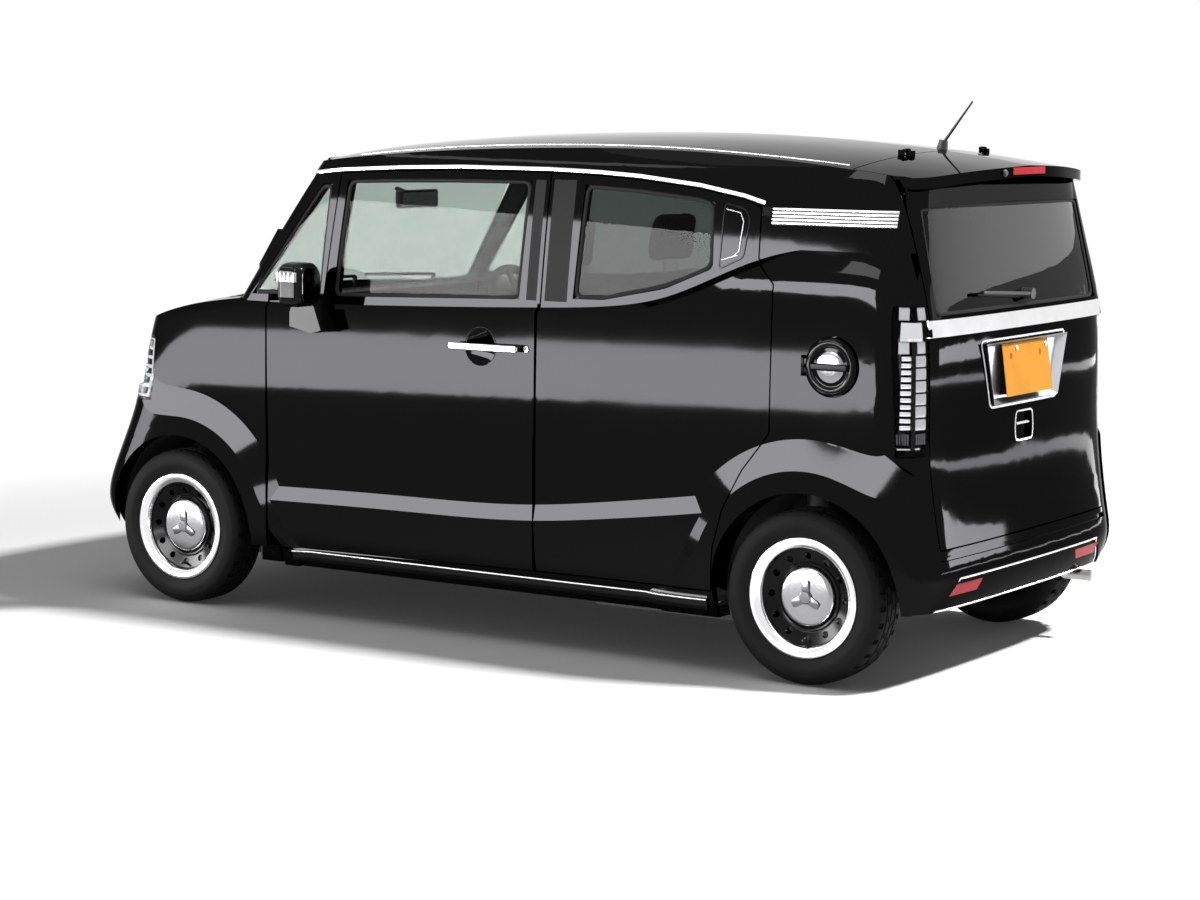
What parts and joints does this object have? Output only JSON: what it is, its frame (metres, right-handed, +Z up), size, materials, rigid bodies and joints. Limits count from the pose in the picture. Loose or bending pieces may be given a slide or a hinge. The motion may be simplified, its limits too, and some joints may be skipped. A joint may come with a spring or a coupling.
{
  "type": "small boxy car",
  "caption": "Small tall black hatchback with side doors, bonnet, tailgate and fuel lid that open, steering front wheels and a furnished cabin.",
  "frame": {"origin": "on the ground under the middle of the car's length and width", "axes": "+X forward, +Y to the car's left, +Z up"},
  "size_m": [3.4031, 1.744, 1.7818],
  "materials": {
    "paint": "gloss",
    "clear_glass": "gloss",
    "dark_glass": "gloss",
    "black_gloss": "gloss",
    "chrome": "polished",
    "cast": "matte",
    "lamp": "gloss",
    "underbody": "matte",
    "trim": "matte",
    "cast_block": "matte",
    "steel": "satin",
    "cloth": "matte",
    "plate": "satin",
    "tyre": "matte",
    "wheel_steel": "gloss"
  },
  "bodies": {
    "body": {"body_side_left": "paint", "body_side_right": "paint", "roof_panel": "paint", "front_wing_left": "paint", "front_wing_right": "paint", "front_bumper": "paint", "rear_bumper": "paint", "quarter_windows": "clear_glass", "windscreen": "clear_glass", "grille": "chrome", "headlamps": "lamp", "tail_lamps": "lamp", "floor_pan": "underbody", "cowl": "trim", "front_suspension": "cast", "rear_axle": "cast", "engine_block": "cast_block", "fuel_tank": "trim", "exhaust": "steel", "dashboard": "trim", "front_seats": "cloth", "rear_seats": "cloth", "interior_mirror": "trim", "antenna": "trim", "front_wheelhouses": "underbody", "rear_wheelhouses": "underbody", "front_wipers": "trim"},
    "front_door_left": {"front_door_left": "paint", "front_door_glass_left": "clear_glass", "door_mirror_left": "black_gloss", "door_handle_left": "chrome"},
    "rear_door_left": {"rear_door_left": "paint", "rear_door_glass_left": "dark_glass"},
    "knuckle_left": {"knuckle_left": "cast"},
    "front_door_right": {"front_door_right": "paint", "front_door_glass_right": "clear_glass", "door_mirror_right": "black_gloss", "door_handle_right": "chrome"},
    "rear_door_right": {"rear_door_right": "paint", "rear_door_glass_right": "dark_glass"},
    "knuckle_right": {"knuckle_right": "cast"},
    "bonnet": {"bonnet": "paint"},
    "tailgate": {"tailgate": "paint", "tailgate_glass": "dark_glass", "number_plate": "plate", "rear_wiper": "trim", "tailgate_bar": "chrome"},
    "fuel_lid": {"fuel_lid": "paint"},
    "steering_wheel": {"steering_wheel": "trim"},
    "wheel_front_left": {"wheel_front_left": "wheel_steel", "tyre_front_left": "tyre"},
    "wheel_front_right": {"wheel_front_right": "wheel_steel", "tyre_front_right": "tyre"},
    "wheel_rear_left": {"wheel_rear_left": "wheel_steel", "tyre_rear_left": "tyre"},
    "wheel_rear_right": {"wheel_rear_right": "wheel_steel", "tyre_rear_right": "tyre"}
  },
  "joints": [
    {"name": "front_door_left_hinge", "type": "hinge", "parent": "body", "child": "front_door_left", "pos_m": [0.808, 0.694, 0.6], "axis": [0, 0, -1], "range_deg": [0, 60]},
    {"name": "front_door_right_hinge", "type": "hinge", "parent": "body", "child": "front_door_right", "pos_m": [0.808, -0.694, 0.6], "axis": [0, 0, 1], "range_deg": [0, 60]},
    {"name": "rear_door_left_hinge", "type": "hinge", "parent": "body", "child": "rear_door_left", "pos_m": [-0.314, 0.694, 0.6], "axis": [0, 0, -1], "range_deg": [0, 60]},
    {"name": "rear_door_right_hinge", "type": "hinge", "parent": "body", "child": "rear_door_right", "pos_m": [-0.314, -0.694, 0.6], "axis": [0, 0, 1], "range_deg": [0, 60]},
    {"name": "bonnet_hinge", "type": "hinge", "parent": "body", "child": "bonnet", "pos_m": [1.104, 0, 1.076], "axis": [0, -1, 0], "range_deg": [0, 50]},
    {"name": "tailgate_hinge", "type": "hinge", "parent": "body", "child": "tailgate", "pos_m": [-1.358, 0, 1.6275], "axis": [0, 1, 0], "range_deg": [0, 72]},
    {"name": "fuel_lid_hinge", "type": "hinge", "parent": "body", "child": "fuel_lid", "pos_m": [-1.256, 0.717, 0.985], "axis": [0, 0, -1], "range_deg": [0, 100]},
    {"name": "steering_left", "type": "hinge", "parent": "body", "child": "knuckle_left", "pos_m": [1.2525, 0.6, 0.272], "axis": [0, 0, 1], "range_deg": [-33, 33]},
    {"name": "steering_right", "type": "hinge", "parent": "body", "child": "knuckle_right", "pos_m": [1.2525, -0.6, 0.272], "axis": [0, 0, 1], "range_deg": [-33, 33]},
    {"name": "wheel_front_left_spin", "type": "hinge", "parent": "knuckle_left", "child": "wheel_front_left", "pos_m": [1.2525, 0.6525, 0.272], "axis": [0, 1, 0], "continuous": true},
    {"name": "wheel_front_right_spin", "type": "hinge", "parent": "knuckle_right", "child": "wheel_front_right", "pos_m": [1.2525, -0.6525, 0.272], "axis": [0, 1, 0], "continuous": true},
    {"name": "wheel_rear_left_spin", "type": "hinge", "parent": "body", "child": "wheel_rear_left", "pos_m": [-1.2675, 0.6525, 0.272], "axis": [0, 1, 0], "continuous": true},
    {"name": "wheel_rear_right_spin", "type": "hinge", "parent": "body", "child": "wheel_rear_right", "pos_m": [-1.2675, -0.6525, 0.272], "axis": [0, 1, 0], "continuous": true},
    {"name": "steering_wheel_turn", "type": "hinge", "parent": "body", "child": "steering_wheel", "pos_m": [0.5, -0.33, 1], "axis": [-0.8829, 0, 0.4695], "range_deg": [-560, 560]}
  ],
  "couplings": [
    {"joint": "steering_right", "follows": "steering_left", "ratio": 1},
    {"joint": "steering_wheel_turn", "follows": "steering_left", "ratio": 16.9}
  ]
}
